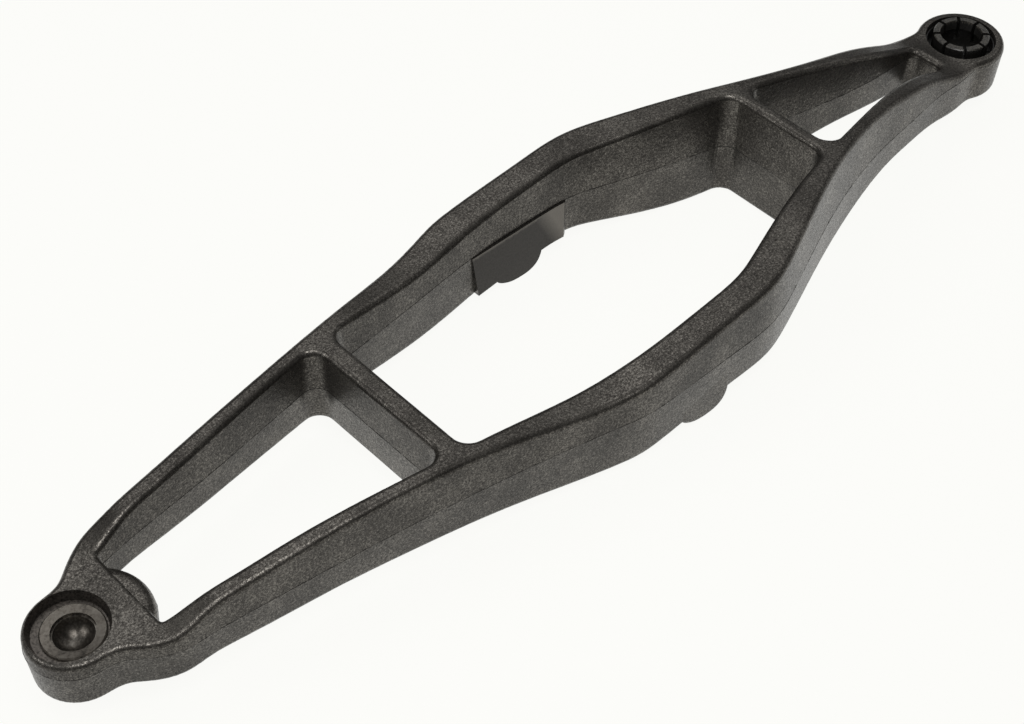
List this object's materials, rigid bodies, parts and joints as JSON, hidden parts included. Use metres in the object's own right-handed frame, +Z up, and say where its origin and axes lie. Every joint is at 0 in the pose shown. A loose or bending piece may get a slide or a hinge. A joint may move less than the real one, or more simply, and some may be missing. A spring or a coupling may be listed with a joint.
{
  "type": "clutch release fork",
  "caption": "Cast clutch release fork: bowed rails joined by crossbars, a ball cup at the narrow end and a slotted pivot socket at the other.",
  "frame": {"origin": "on the axis of the ball cup, at the height of the mould parting plane", "axes": "+X from the ball cup to the pivot socket, +Z up out of the mouths of the cup and the socket, +Y across the rails"},
  "size_m": [0.3663, 0.0882, 0.0379],
  "materials": {
    "cast_iron": "as cast, shot-blasted, grey and slightly sparkling",
    "cup_steel": "turned steel with a dark, worn hollow",
    "socket_plastic": "black glass-filled plastic, lighter at the finger tips"
  },
  "bodies": {
    "root": {"fork_body": "cast_iron", "ball_cup": "cup_steel", "pivot_socket": "socket_plastic"}
  },
  "joints": []
}
